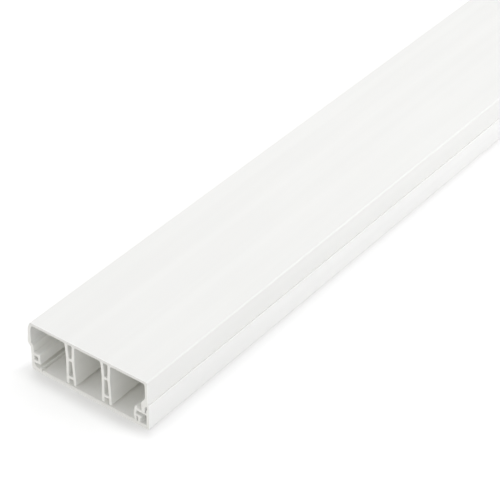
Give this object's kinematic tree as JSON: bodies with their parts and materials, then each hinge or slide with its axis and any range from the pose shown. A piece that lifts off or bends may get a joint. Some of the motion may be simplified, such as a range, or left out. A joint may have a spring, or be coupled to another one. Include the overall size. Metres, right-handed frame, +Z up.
{
  "type": "cord cover raceway",
  "caption": "Length of white PVC cord cover raceway: a flat base with clip rails and a clip-fit cover whose hollow dividers split the inside into cable channels.",
  "frame": {"origin": "centre of the length and of the overall width, on the floor under the base", "axes": "+Y along the length, +X across the width towards the side with the visible seam, +Z up through the cover"},
  "size_m": [0.1, 1, 0.038],
  "materials": {
    "cover_pvc": "satin",
    "base_pvc": "satin"
  },
  "bodies": {
    "root": {"cover": "cover_pvc", "base": "base_pvc"}
  },
  "joints": []
}
